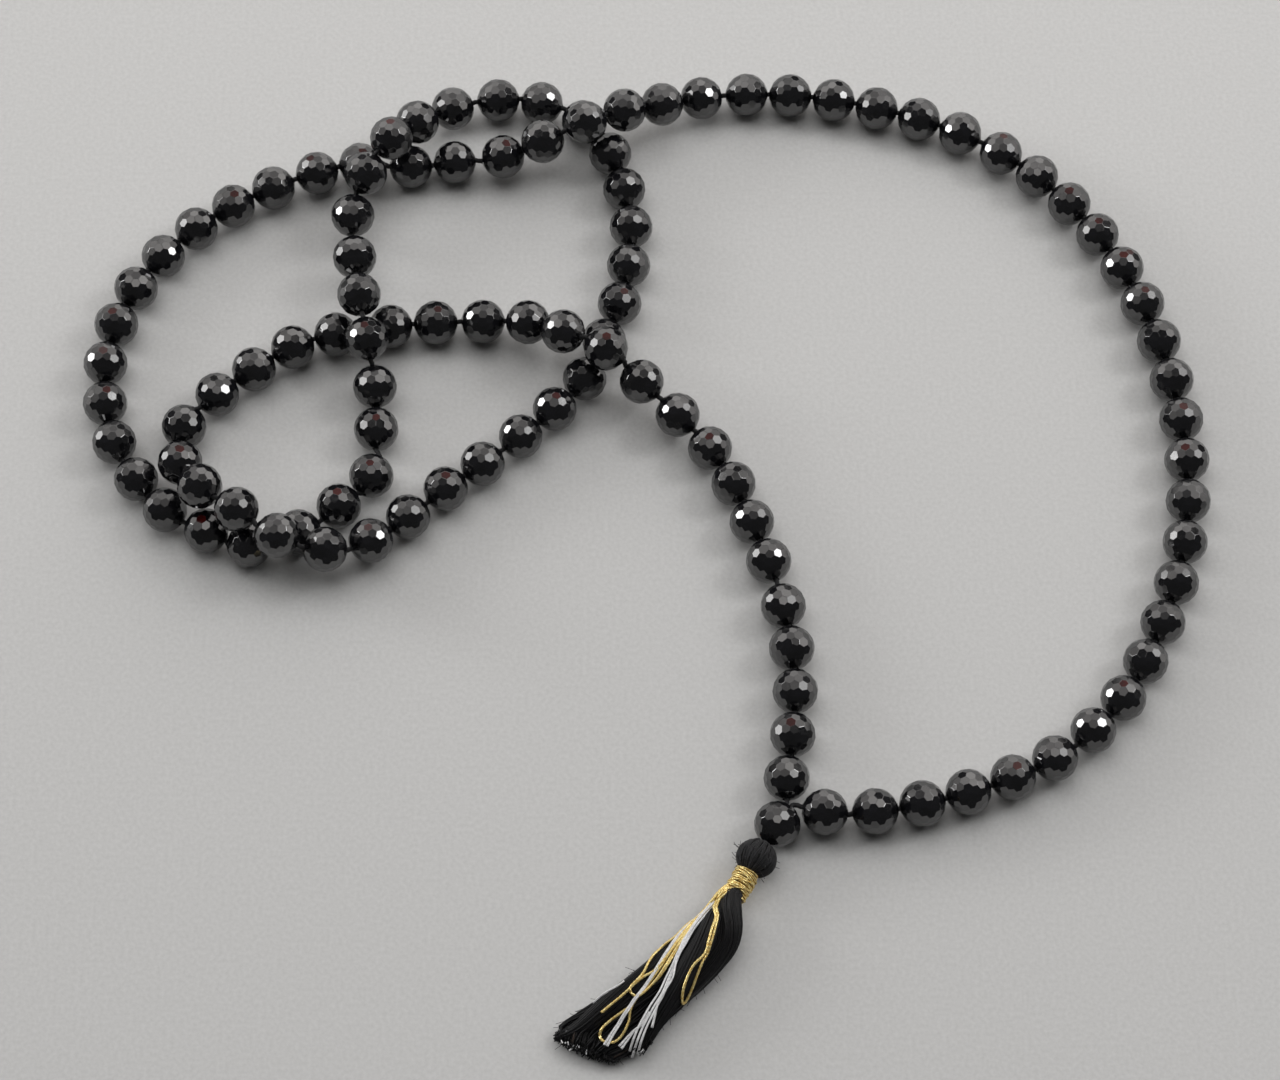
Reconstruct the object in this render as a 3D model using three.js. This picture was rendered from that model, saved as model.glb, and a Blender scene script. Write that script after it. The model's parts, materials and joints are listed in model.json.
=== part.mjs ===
// Prayer beads: 108 faceted black stone beads on one looped black string, a head bead and a tassel,
// laid down in overlapping curls. Millimetres, Z up, resting on z = 0, the tassel towards -Y.
import * as THREE from "three";

// ---- Driving dimensions, mm ----
const BEAD_COUNT = 108;
const BEAD_RADIUS = 4; // the facet corners lie on this sphere
const REST_HEIGHT = 4; // centre of a bead that lies on the ground
const BELT_RADIUS = BEAD_RADIUS * Math.cos(Math.PI / 8); // widest ring of corners
const BELT_HALF = BEAD_RADIUS * Math.sin(Math.PI / 8); // half the width of the belt of facets
const BORE_RADIUS = 0.85;
const HEAD_BORE_RADIUS = 1.2; // two strands go through the head bead
const BEAD_SIDES = 8;
const PITCH = 8.15; // centre to centre where the beads sit close
const HEAD_GAP = 8.4; // head bead to first bead
const CORD_RADIUS = 0.45;
const CORD_OUT = 3.9; // from a bead's centre to where the string leaves it
const CORD_SIDES = 8;
const LINK_GAP = 0.15; // half the gap between two lengths of string that meet
const STRANDS_MEET = 4.7; // from the head bead's centre to the ends of both strands
const STRAND_SPREAD = 1.2; // between the two strands there
const THREAD_RADIUS = 0.29;
const THREAD_CLEAR = 0.34;

const HEAD = [23.2, -54.5, 4];

// Extra play left after some beads, mm.
const PLAY = {
  1: 0.4, 6: 0.4, 23: 0.4, 29: 0.4, 33: 0.6, 35: 0.9, 37: 1.2, 39: 0.4, 48: 0.4, 50: 0.4, 52: 0.8,
  53: 0.4, 55: 1.2, 57: 0.6, 58: 0.6, 59: 1.0, 60: 1.0, 64: 0.6, 65: 0.6, 67: 0.5, 68: 0.5, 74: 0.4,
  77: 0.5, 79: 0.4, 81: 0.7, 82: 0.7, 83: 0.7, 84: 0.4, 86: 0.6, 87: 0.6, 91: 1.8, 93: 0.4, 94: 0.4,
  96: 0.9, 97: 0.6, 98: 0.6, 99: 0.3, 103: 0.9,
};

// The string's way from the head bead round to the head bead again, mm.
const ROUTE = [
  [31.5, -52.3, 4], [39.8, -52.2, 4], [55.9, -48.6, 4], [71, -42.3, 4], [82.5, -32, 4],
  [90.5, -17.5, 4], [95.5, -2, 4], [97, 14.5, 4], [95.5, 30, 4], [91.5, 45.5, 4], [84.5, 60, 4],
  [74, 73, 4], [60.5, 82.5, 4], [45, 88.3, 4], [29, 91.3, 4], [14, 91, 4.2], [5, 88, 6.5],
  [-3.2, 84.3, 9.9], [-11, 80.4, 11.3], [-18.3, 78.3, 8.5], [-26.5, 77, 5], [-35, 76.7, 4],
  [-43, 75.8, 4], [-52.3, 76.3, 4], [-68, 71, 4], [-81.6, 62.2, 4], [-91.5, 50, 4], [-96, 35, 4],
  [-93.5, 18.5, 4], [-83.3, 4.6, 4], [-75.6, 0.6, 4], [-67.2, -2, 4], [-59, 1.2, 4],
  [-52, 6.8, 4], [-47.2, 12.5, 4], [-47, 21.5, 4], [-47.5, 30, 5.2], [-49, 37.4, 9.3],
  [-50.5, 45.6, 9.9], [-51.8, 55.4, 7.8], [-52.3, 63.5, 7.5], [-50.3, 70.3, 9.8],
  [-46, 76.4, 11.9], [-41, 83, 8], [-33.7, 88.6, 4.4], [-25.5, 90.4, 4], [-17.3, 89.4, 4],
  [-9.8, 85, 4], [-5, 77.5, 4], [-1.6, 62, 4], [-4, 45.7, 4], [-6.9, 38.2, 4], [-10.4, 30.6, 4],
  [-21.9, 19, 4], [-34.5, 9, 4], [-47.6, -1.8, 5], [-55.5, -4.8, 8.2], [-63.5, -3.4, 11.3],
  [-70.8, 1.9, 11.1], [-77.6, 7.2, 9.8], [-81.5, 14.2, 6.3], [-80.6, 22.8, 4.3],
  [-75, 28.6, 4], [-62, 38, 4], [-55, 40.3, 4], [-45, 42, 4], [-28.6, 43, 4], [-20.5, 41.8, 6],
  [-12.6, 37.2, 9.9], [-5.6, 33.2, 11.1], [1.1, 28.2, 6.9], [12.8, 16.7, 4], [20, 1.8, 4],
  [25, -14, 4], [26.7, -30.2, 4], [24.9, -46.4, 4],
];

// Beads 2 to 29 each turn on their own; the rest are strung in short runs with their string.
const FREE_FROM = 2;
const FREE_TO = 29;
const STRINGS = { string_right_lower: [2, 6], string_right_bight: [7, 23], string_right_upper: [24, 29] };
const RUNS = [
  [1, 1], [30, 34], [35, 39], [40, 44], [45, 48], [49, 52], [53, 56], [57, 60], [61, 64], [65, 67],
  [68, 72], [73, 77], [78, 82], [83, 87], [88, 92], [93, 97], [98, 102], [103, 108],
];

// The tassel lies along this line from the head bead; distances along it are from the head bead's centre.
const TASSEL_LINE = new THREE.Vector3(-0.505, -0.863, 0).normalize();
const KNOT_AT = 4.15;
const KNOT_HALF = 0.25;
const BALL_AT = 7.5;
const BALL_RADIUS = 3.4;
const BALL_HALF = 2.95; // flattened towards the head bead and the wrap
const BALL_HEIGHT = 3.8;
const WRAP_FROM = 10.6;
const WRAP_TO = 15.2;
const WRAP_HEIGHT = 3.5;
const WRAP_RADIUS = 2;
const WRAP_BORE = 1.4;
const CORE_RADIUS = 1.1;
const CORE_TO = 15; // just inside the wrap's mouth

// Skirt of loose yarn: centre, half width and half height of each station; flat where it lies.
const SKIRT = [
  [15.3, -68, 3.5, 0.8, 0.8], [14.7, -69, 3.4, 2, 1.9], [13.8, -70.7, 3.2, 2.8, 2.5],
  [12.9, -72.9, 3.1, 3.1, 2.7], [11, -75.7, 3, 4.2, 2.8], [8.4, -78.6, 3, 5, 2.85],
  [5.5, -81.9, 2.8, 5.6, 2.7], [2.4, -85.2, 2.6, 6.2, 2.4], [-2.4, -88.9, 2.3, 6.8, 2.1],
  [-7.3, -92, 1.9, 7, 1.7],
];
const ACROSS_AT_WRAP = new THREE.Vector3(0.863, -0.505, 0);
const ACROSS_AT_END = new THREE.Vector3(0.94, -0.34, 0); // the skirt is cut off askew
const SKIRT_SIDES = 20;
const GROUND_CLEAR = 0.15;

// Where the loose threads lie on the skirt (x, y), mm.
const NARROW_LOOP = [
  [13.5, -69.7], [12.7, -71.4], [12.2, -74.7], [11.1, -78.6], [10, -82.4], [8.6, -85.3], [7.4, -86.2],
  [7.1, -84.9], [7.8, -82.6], [8.8, -80.2],
];
const WIDE_LOOP = [
  [11.6, -70.5], [9.5, -72.6], [8.1, -75.2], [5.6, -79], [2.6, -82.6], [-0.5, -86.2], [-2, -89],
  [-3.4, -91.2], [-5, -92], [-6.3, -91.2], [-5.7, -89.4], [-3.8, -87.8],
];
const END_THREAD = [[6.5, -74.4], [3, -78], [1.1, -80.6], [-1, -83.2], [-3.1, -85.6], [-6, -87.8]];
const WHITE_THREAD = [[10.3, -74.2], [7.4, -78.6], [5.3, -81.6], [4.4, -84.6], [2.6, -88.2], [0.4, -91.4]];

// ---- Materials ----
const ONYX = new THREE.MeshStandardMaterial({ color: 0x070708, roughness: 0.08, metalness: 0 });
const BLACK_STRING = new THREE.MeshStandardMaterial({ color: 0x0a0a0b, roughness: 0.8, metalness: 0 });
const BLACK_YARN = new THREE.MeshStandardMaterial({ color: 0x0b0908, roughness: 0.9, metalness: 0 });
const GOLD_THREAD = new THREE.MeshStandardMaterial({ color: 0xb89a56, roughness: 0.35, metalness: 0.8 });
const WHITE_COTTON = new THREE.MeshStandardMaterial({ color: 0xd9d6cf, roughness: 0.9, metalness: 0 });

const part = new THREE.Group();

function addMesh(name, geometry, material) {
  const mesh = new THREE.Mesh(geometry, material);
  mesh.name = name;
  part.add(mesh);
}

const beadName = (n) => `bead_${String(n).padStart(2, "0")}`;
const point = (p) => new THREE.Vector3(p[0], p[1], p[2]);
const alongTassel = (distance, height) =>
  point(HEAD).addScaledVector(TASSEL_LINE, distance).setZ(height);

// ---- Where the beads sit ----
function walkString() {
  const curve = new THREE.CatmullRomCurve3([HEAD, ...ROUTE, HEAD].map(point), false, "centripetal");
  const steps = (ROUTE.length + 1) * 400;
  const centres = [point(HEAD)];
  let wanted = HEAD_GAP;
  let before = point(HEAD);
  for (let i = 1; i <= steps && centres.length <= BEAD_COUNT; i++) {
    const here = curve.getPoint(i / steps);
    here.z = Math.max(here.z, REST_HEIGHT);
    const last = centres.at(-1);
    const far = here.distanceTo(last);
    if (far >= wanted) {
      const near = before.distanceTo(last);
      const centre = before.clone().lerp(here, (wanted - near) / (far - near));
      centres.push(centre);
      wanted = PITCH + (PLAY[centres.length - 1] ?? 0);
    }
    before = here;
  }
  return centres;
}

const centres = walkString();
const gather = point(HEAD).addScaledVector(TASSEL_LINE, -5.2); // the first and last bead face this place
const neighbour = (n) => (n < 1 || n > BEAD_COUNT ? gather : centres[n]);
const axisOf = (n) =>
  n === 0 ? TASSEL_LINE.clone() : neighbour(n + 1).clone().sub(neighbour(n - 1)).normalize();

// Bead n's own frame: its drill axis along Y, one facet facing down.
function beadFrame(n) {
  const along = axisOf(n);
  const side = along.clone().cross(new THREE.Vector3(0, 0, 1)).normalize();
  const up = side.clone().cross(along);
  return new THREE.Matrix4().makeBasis(side, along, up).setPosition(centres[n]);
}

// ---- Beads ----
// A bead's outline from mouth to mouth: radius and place along the drill axis.
const beadOutline = (mouthRadius) => [
  [mouthRadius, -BELT_RADIUS],
  [BELT_HALF, -BELT_RADIUS],
  [BELT_RADIUS, -BELT_HALF],
  [BELT_RADIUS, BELT_HALF],
  [BELT_HALF, BELT_RADIUS],
  [mouthRadius, BELT_RADIUS],
];

function boredBead(n, boreRadius) {
  const outline = beadOutline(boreRadius);
  const profile = [...outline, outline[0]].map(([r, y]) => new THREE.Vector2(r, y));
  const geometry = new THREE.LatheGeometry(profile, BEAD_SIDES, Math.PI / BEAD_SIDES);
  return geometry.applyMatrix4(beadFrame(n));
}

// ---- String ----
// A path with corners, so that the string runs straight through each bore.
class CornerPath extends THREE.Curve {
  constructor(corners) {
    super();
    this.corners = corners;
  }
  getPoint(t) {
    return this.corners[Math.round(t * (this.corners.length - 1))].clone();
  }
  getPointAt(u) {
    return this.getPoint(u);
  }
  getTangentAt(u) {
    const i = Math.round(u * (this.corners.length - 1));
    const here = this.corners[i];
    const on = i < this.corners.length - 1 ? this.corners[i + 1].clone().sub(here).normalize() : null;
    const off = i > 0 ? here.clone().sub(this.corners[i - 1]).normalize() : null;
    if (!on) return off;
    return off ? on.add(off).normalize() : on;
  }
}

function roundSection(radius, sides) {
  const corners = [];
  for (let i = 0; i < sides; i++) {
    const a = (2 * Math.PI * i) / sides;
    corners.push(new THREE.Vector2(radius * Math.cos(a), radius * Math.sin(a)));
  }
  return new THREE.Shape(corners);
}

function stringGeometry(corners) {
  const settings = { steps: corners.length - 1, bevelEnabled: false, extrudePath: new CornerPath(corners) };
  return new THREE.ExtrudeGeometry(roundSection(CORD_RADIUS, CORD_SIDES), settings);
}

// The end of a length of string half way to the next bead, less a small gap.
function halfWay(from, to) {
  const step = to.clone().sub(from);
  return from.clone().addScaledVector(step, 0.5 - LINK_GAP / step.length());
}

const mouthOf = (n, way) => centres[n].clone().addScaledVector(axisOf(n), way * CORD_OUT);

// Where the string of beads first..last starts and stops; both strands end side by side at the head bead.
function stringEnds(first, last) {
  const side = TASSEL_LINE.clone().cross(new THREE.Vector3(0, 0, 1)).multiplyScalar(STRAND_SPREAD / 2);
  const meeting = point(HEAD).addScaledVector(TASSEL_LINE, -STRANDS_MEET);
  let start = meeting.clone().sub(side);
  let stop = meeting.clone().add(side);
  if (first > 1) start = halfWay(mouthOf(first, -1), mouthOf(first - 1, 1));
  if (last < BEAD_COUNT) stop = halfWay(mouthOf(last, 1), mouthOf(last + 1, -1));
  return [start, stop];
}

function stringCorners(first, last) {
  const [start, stop] = stringEnds(first, last);
  const corners = [start];
  for (let n = first; n <= last; n++) corners.push(mouthOf(n, -1), mouthOf(n, 1));
  return [...corners, stop];
}

// ---- Skinned solids ----
// A solid skinned over rings of equal count, closed by a fan at each end.
function skinGeometry(rings) {
  const count = rings[0].length;
  const positions = rings.flat().flatMap((p) => [p.x, p.y, p.z]);
  const index = [];
  for (let r = 0; r < rings.length - 1; r++) {
    for (let i = 0; i < count; i++) {
      const a = r * count + i;
      const b = r * count + ((i + 1) % count);
      index.push(a, b, a + count, b, b + count, a + count);
    }
  }
  for (const end of [0, rings.length - 1]) {
    const middle = new THREE.Vector3();
    for (const p of rings[end]) middle.addScaledVector(p, 1 / count);
    const tip = positions.length / 3;
    positions.push(middle.x, middle.y, middle.z);
    for (let i = 0; i < count; i++) {
      const a = end * count + i;
      const b = end * count + ((i + 1) % count);
      if (end === 0) index.push(tip, b, a);
      else index.push(tip, a, b);
    }
  }
  const geometry = new THREE.BufferGeometry();
  geometry.setAttribute("position", new THREE.Float32BufferAttribute(positions, 3));
  geometry.setIndex(index);
  geometry.computeVertexNormals();
  return geometry;
}

// A ring of corners about a centre, square to its axis, with one side of the polygon facing down.
function squareRing(centre, along, radius) {
  const side = along.clone().cross(new THREE.Vector3(0, 0, 1)).normalize();
  const up = side.clone().cross(along);
  const ring = [];
  for (let i = 0; i < BEAD_SIDES; i++) {
    const a = (2 * Math.PI * (i + 0.5)) / BEAD_SIDES;
    const corner = centre.clone().addScaledVector(side, -radius * Math.cos(a));
    ring.push(corner.addScaledVector(up, radius * Math.sin(a)));
  }
  return ring;
}

// Beads first..last and their string as one solid.
function runGeometry(first, last) {
  const [start, stop] = stringEnds(first, last);
  const rings = [squareRing(start, mouthOf(first, -1).sub(start).normalize(), CORD_RADIUS)];
  for (let n = first; n <= last; n++) {
    const along = axisOf(n);
    for (const [radius, y] of beadOutline(CORD_RADIUS))
      rings.push(squareRing(centres[n].clone().addScaledVector(along, y), along, radius));
  }
  rings.push(squareRing(stop, stop.clone().sub(mouthOf(last, 1)).normalize(), CORD_RADIUS));
  return skinGeometry(rings);
}

// ---- Tassel ----
// Turns a lathe's Y axis onto the tassel's line, with the given height.
function layLathe(geometry, height) {
  const side = TASSEL_LINE.clone().cross(new THREE.Vector3(0, 0, 1));
  const basis = new THREE.Matrix4().makeBasis(side, TASSEL_LINE, new THREE.Vector3(0, 0, 1));
  return geometry.applyMatrix4(basis.setPosition(HEAD[0], HEAD[1], height));
}

function addLathe(name, outline, sides, height, material) {
  const profile = outline.map(([r, y]) => new THREE.Vector2(r, y));
  addMesh(name, layLathe(new THREE.LatheGeometry(profile, sides), height), material);
}

function addTasselHead() {
  const ball = [];
  for (let i = 0; i <= 10; i++) {
    const a = -Math.PI / 2 + (Math.PI * i) / 10;
    const y = Math.max(-BALL_HALF, Math.min(BALL_HALF, BALL_RADIUS * Math.sin(a)));
    ball.push([i % 10 === 0 ? 0 : BALL_RADIUS * Math.cos(a), BALL_AT + y]);
  }
  addLathe("tassel_ball", ball, 16, BALL_HEIGHT, BLACK_YARN);
  const knot = [];
  for (let i = 0; i <= 4; i++) {
    const a = -Math.PI / 2 + (Math.PI * i) / 4;
    knot.push([i % 4 === 0 ? 0 : 0.4 * Math.cos(a), KNOT_AT + KNOT_HALF * Math.sin(a)]);
  }
  addLathe("tassel_knot", knot, 8, HEAD[2], BLACK_STRING);
  const wrap = [
    [WRAP_BORE, WRAP_FROM],
    [WRAP_RADIUS - 0.2, WRAP_FROM],
    [WRAP_RADIUS, WRAP_FROM + 0.3],
    [WRAP_RADIUS, WRAP_TO - 0.3],
    [WRAP_RADIUS - 0.2, WRAP_TO],
    [WRAP_BORE, WRAP_TO],
    [WRAP_BORE, WRAP_FROM],
  ];
  addLathe("gold_wrap", wrap, 20, WRAP_HEIGHT, GOLD_THREAD);
  const core = [[0, WRAP_FROM], [CORE_RADIUS, WRAP_FROM], [CORE_RADIUS, CORE_TO], [0, CORE_TO]];
  addLathe("tassel_core", core, 10, WRAP_HEIGHT, BLACK_YARN);
}

function skirtRing([x, y, z, halfWidth, halfHeight], across) {
  const ring = [];
  for (let i = 0; i < SKIRT_SIDES; i++) {
    const a = (2 * Math.PI * i) / SKIRT_SIDES;
    const corner = new THREE.Vector3(x, y, 0).addScaledVector(across, halfWidth * Math.cos(a));
    ring.push(corner.setZ(Math.max(GROUND_CLEAR, z + halfHeight * Math.sin(a))));
  }
  return ring;
}

function skirtGeometry() {
  const rings = SKIRT.map((station, i) => {
    const across = ACROSS_AT_WRAP.clone().lerp(ACROSS_AT_END, i / (SKIRT.length - 1));
    return skirtRing(station, across.normalize());
  });
  return skinGeometry(rings);
}

// Height of the skirt's upper side at (x, y).
function skirtTop(x, y) {
  let best = { gap: Infinity, top: 0 };
  for (let i = 0; i < SKIRT.length - 1; i++) {
    const [x0, y0] = SKIRT[i];
    const dx = SKIRT[i + 1][0] - x0;
    const dy = SKIRT[i + 1][1] - y0;
    const t = THREE.MathUtils.clamp(((x - x0) * dx + (y - y0) * dy) / (dx * dx + dy * dy), 0, 1);
    const gap = Math.hypot(x - x0 - t * dx, y - y0 - t * dy);
    const between = (k) => THREE.MathUtils.lerp(SKIRT[i][k], SKIRT[i + 1][k], t);
    const [z, halfWidth, halfHeight] = [between(2), between(3), between(4)];
    const share = Math.min(gap / halfWidth, 0.95);
    if (gap < best.gap) best = { gap, top: z + halfHeight * Math.sqrt(1 - share * share) };
  }
  return best.top;
}

function addThread(name, places, material) {
  const rise = THREAD_RADIUS + THREAD_CLEAR;
  const points = places.map(([x, y]) => new THREE.Vector3(x, y, skirtTop(x, y) + rise));
  const path = new THREE.CatmullRomCurve3(points, false, "centripetal");
  const settings = { steps: places.length * 3, bevelEnabled: false, extrudePath: path };
  addMesh(name, new THREE.ExtrudeGeometry(roundSection(THREAD_RADIUS, 6), settings), material);
}

// ---- The part ----
addMesh("head_bead", boredBead(0, HEAD_BORE_RADIUS), ONYX);
addMesh("head_cord", stringGeometry([alongTassel(-4, HEAD[2]), alongTassel(3.7, HEAD[2])]), BLACK_STRING);
for (let n = FREE_FROM; n <= FREE_TO; n++) addMesh(beadName(n), boredBead(n, BORE_RADIUS), ONYX);
for (const [name, [first, last]] of Object.entries(STRINGS))
  addMesh(name, stringGeometry(stringCorners(first, last)), BLACK_STRING);
for (const [first, last] of RUNS) {
  const name = first === last ? beadName(first) : `beads_${first}_to_${last}`;
  addMesh(name, runGeometry(first, last), ONYX);
}
addTasselHead();
addMesh("tassel_skirt", skirtGeometry(), BLACK_YARN);
addThread("gold_loop_narrow", NARROW_LOOP, GOLD_THREAD);
addThread("gold_loop_wide", WIDE_LOOP, GOLD_THREAD);
addThread("gold_thread_end", END_THREAD, GOLD_THREAD);
addThread("white_thread", WHITE_THREAD, WHITE_COTTON);

export default part;
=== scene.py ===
"""Prayer beads: 108 faceted black stone beads on one looped black string, a head bead and a tassel.

Everything stands in the CAD model's frame: Z up, resting on z = 0, the tassel towards -Y. The camera, the
string and the stage are in metres. The stones and the tassel are worked out in millimetres, as the heads of
their sections say, and MM turns them into metres.
"""
import json
import math

import bmesh
import bpy
import numpy as np
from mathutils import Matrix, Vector
from mathutils.bvhtree import BVHTree

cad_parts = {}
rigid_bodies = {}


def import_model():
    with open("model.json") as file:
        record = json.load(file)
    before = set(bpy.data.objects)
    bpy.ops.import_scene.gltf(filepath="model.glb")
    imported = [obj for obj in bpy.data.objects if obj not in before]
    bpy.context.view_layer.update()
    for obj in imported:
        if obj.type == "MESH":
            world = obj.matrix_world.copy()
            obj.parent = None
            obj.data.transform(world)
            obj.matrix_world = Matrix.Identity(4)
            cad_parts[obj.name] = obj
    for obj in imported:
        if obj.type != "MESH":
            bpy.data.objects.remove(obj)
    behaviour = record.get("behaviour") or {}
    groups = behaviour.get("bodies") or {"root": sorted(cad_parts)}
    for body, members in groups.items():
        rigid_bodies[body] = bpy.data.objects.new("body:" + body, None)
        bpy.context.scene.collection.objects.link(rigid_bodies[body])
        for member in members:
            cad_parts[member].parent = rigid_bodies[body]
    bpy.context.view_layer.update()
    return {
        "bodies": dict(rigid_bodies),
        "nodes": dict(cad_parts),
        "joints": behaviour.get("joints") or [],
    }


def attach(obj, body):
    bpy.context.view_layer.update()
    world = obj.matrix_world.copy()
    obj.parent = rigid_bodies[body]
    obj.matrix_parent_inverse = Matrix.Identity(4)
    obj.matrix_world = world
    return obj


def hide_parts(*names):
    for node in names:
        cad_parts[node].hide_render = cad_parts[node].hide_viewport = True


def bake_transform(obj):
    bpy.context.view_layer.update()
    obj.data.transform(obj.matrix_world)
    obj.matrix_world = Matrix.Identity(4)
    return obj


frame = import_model()
MM = 0.001
UP = np.array([0.0, 0.0, 1.0])

# ---- Camera ----
CAMERA_AIM = Vector((0, 0.001, 0))
CAMERA_DISTANCE = 0.65375
CAMERA_ELEVATION = math.radians(63.8155)
CAMERA_LENS = 104.06  # mm
CAMERA_SENSOR = 36  # mm


def add_camera():
    data = bpy.data.cameras.new("camera")
    data.lens = CAMERA_LENS
    data.sensor_width = CAMERA_SENSOR
    camera = bpy.data.objects.new("camera", data)
    towards = Vector((0, -math.cos(CAMERA_ELEVATION), math.sin(CAMERA_ELEVATION)))
    camera.location = CAMERA_AIM + CAMERA_DISTANCE * towards
    camera.rotation_euler = (math.pi / 2 - CAMERA_ELEVATION, 0, 0)
    bpy.context.scene.collection.objects.link(camera)
    bpy.context.scene.camera = camera


# ---- The string's route, as in the CAD model, in metres ----
BEAD_COUNT = 108
REST_HEIGHT = 0.004  # centre of a bead that lies on the ground
PITCH = 0.00815  # centre to centre where the beads sit close
HEAD_GAP = 0.0084  # head bead to first bead
BORE_END = 0.0037  # from a bead's centre to its mouth
GATHER_BACK = 0.0052  # from the head bead's centre to the place that the first and last bead face
ROUTE_STEPS = 400  # points on the route from one given point to the next
HEAD = (0.0232, -0.0545, 0.004)

# Extra play left after some beads.
PLAY = {
    1: 0.0004, 6: 0.0004, 23: 0.0004, 29: 0.0004, 33: 0.0006, 35: 0.0009, 37: 0.0012, 39: 0.0004,
    48: 0.0004, 50: 0.0004, 52: 0.0008, 53: 0.0004, 55: 0.0012, 57: 0.0006, 58: 0.0006, 59: 0.001,
    60: 0.001, 64: 0.0006, 65: 0.0006, 67: 0.0005, 68: 0.0005, 74: 0.0004, 77: 0.0005, 79: 0.0004,
    81: 0.0007, 82: 0.0007, 83: 0.0007, 84: 0.0004, 86: 0.0006, 87: 0.0006, 91: 0.0018, 93: 0.0004,
    94: 0.0004, 96: 0.0009, 97: 0.0006, 98: 0.0006, 99: 0.0003, 103: 0.0009,
}

# The string's way from the head bead round to the head bead again.
ROUTE = [
    (0.0315, -0.0523, 0.004), (0.0398, -0.0522, 0.004), (0.0559, -0.0486, 0.004),
    (0.071, -0.0423, 0.004), (0.0825, -0.032, 0.004), (0.0905, -0.0175, 0.004),
    (0.0955, -0.002, 0.004), (0.097, 0.0145, 0.004), (0.0955, 0.03, 0.004), (0.0915, 0.0455, 0.004),
    (0.0845, 0.06, 0.004), (0.074, 0.073, 0.004), (0.0605, 0.0825, 0.004), (0.045, 0.0883, 0.004),
    (0.029, 0.0913, 0.004), (0.014, 0.091, 0.0042), (0.005, 0.088, 0.0065), (-0.0032, 0.0843, 0.0099),
    (-0.011, 0.0804, 0.0113), (-0.0183, 0.0783, 0.0085), (-0.0265, 0.077, 0.005),
    (-0.035, 0.0767, 0.004), (-0.043, 0.0758, 0.004), (-0.0523, 0.0763, 0.004),
    (-0.068, 0.071, 0.004), (-0.0816, 0.0622, 0.004), (-0.0915, 0.05, 0.004), (-0.096, 0.035, 0.004),
    (-0.0935, 0.0185, 0.004), (-0.0833, 0.0046, 0.004), (-0.0756, 0.0006, 0.004),
    (-0.0672, -0.002, 0.004), (-0.059, 0.0012, 0.004), (-0.052, 0.0068, 0.004),
    (-0.0472, 0.0125, 0.004), (-0.047, 0.0215, 0.004), (-0.0475, 0.03, 0.0052),
    (-0.049, 0.0374, 0.0093), (-0.0505, 0.0456, 0.0099), (-0.0518, 0.0554, 0.0078),
    (-0.0523, 0.0635, 0.0075), (-0.0503, 0.0703, 0.0098), (-0.046, 0.0764, 0.0119),
    (-0.041, 0.083, 0.008), (-0.0337, 0.0886, 0.0044), (-0.0255, 0.0904, 0.004),
    (-0.0173, 0.0894, 0.004), (-0.0098, 0.085, 0.004), (-0.005, 0.0775, 0.004), (-0.0016, 0.062, 0.004),
    (-0.004, 0.0457, 0.004), (-0.0069, 0.0382, 0.004), (-0.0104, 0.0306, 0.004),
    (-0.0219, 0.019, 0.004), (-0.0345, 0.009, 0.004), (-0.0476, -0.0018, 0.005),
    (-0.0555, -0.0048, 0.0082), (-0.0635, -0.0034, 0.0113), (-0.0708, 0.0019, 0.0111),
    (-0.0776, 0.0072, 0.0098), (-0.0815, 0.0142, 0.0063), (-0.0806, 0.0228, 0.0043),
    (-0.075, 0.0286, 0.004), (-0.062, 0.038, 0.004), (-0.055, 0.0403, 0.004), (-0.045, 0.042, 0.004),
    (-0.0286, 0.043, 0.004), (-0.0205, 0.0418, 0.006), (-0.0126, 0.0372, 0.0099),
    (-0.0056, 0.0332, 0.0111), (0.0011, 0.0282, 0.0069), (0.0128, 0.0167, 0.004),
    (0.02, 0.0018, 0.004), (0.025, -0.014, 0.004), (0.0267, -0.0302, 0.004), (0.0249, -0.0464, 0.004),
]

# String pieces: name, body, first and last bead, and the CAD node that the piece stands for, if any.
STRINGS = [
    ("string_start", "laid_string", 1, 1, None),
    ("string_right_lower_cord", "right_outer", 2, 6, "string_right_lower"),
    ("string_right_bight_cord", "right_inner", 7, 23, "string_right_bight"),
    ("string_right_upper_cord", "right_outer", 24, 29, "string_right_upper"),
    ("string_top_crossing_cord", "laid_string", 30, 39, None),
    ("string_left_arc_cord", "left_arc", 40, 48, None),
    ("string_inner_curl_cord", "laid_string", 49, 60, None),
    ("string_top_arc_cord", "top_arc", 61, 67, None),
    ("string_return_cord", "laid_string", 68, 108, None),
]


def unit(v):
    return v / np.linalg.norm(v)


TASSEL_LINE = unit(np.array([-0.505, -0.863, 0.0]))
TASSEL_SIDE = np.cross(TASSEL_LINE, UP)  # across it, towards the viewer's left


def distances_along(line):
    """Each point's distance from the start of the line, measured along it."""
    return np.r_[0, np.cumsum(np.linalg.norm(np.diff(line, axis=0), axis=1))]


def smooth_line(points, per_span):
    """A centripetal Catmull-Rom curve through the points, as an array."""
    p = [np.array(q, float) for q in points]
    p = [2 * p[0] - p[1], *p, 2 * p[-1] - p[-2]]
    out = []
    for a, b, c, d in zip(p, p[1:], p[2:], p[3:]):
        d0, d1, d2 = (math.sqrt(np.linalg.norm(v)) for v in (b - a, c - b, d - c))
        t1 = ((b - a) / d0 - (c - a) / (d0 + d1) + (c - b) / d1) * d1
        t2 = ((c - b) / d1 - (d - b) / (d1 + d2) + (d - c) / d2) * d1
        t = np.linspace(0, 1, per_span, endpoint=False)[:, None]
        out.append(b + t1 * t + (-3 * b + 3 * c - 2 * t1 - t2) * t**2 + (2 * b - 2 * c + t1 + t2) * t**3)
    out.append(p[-2][None])
    return np.concatenate(out)


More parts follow.
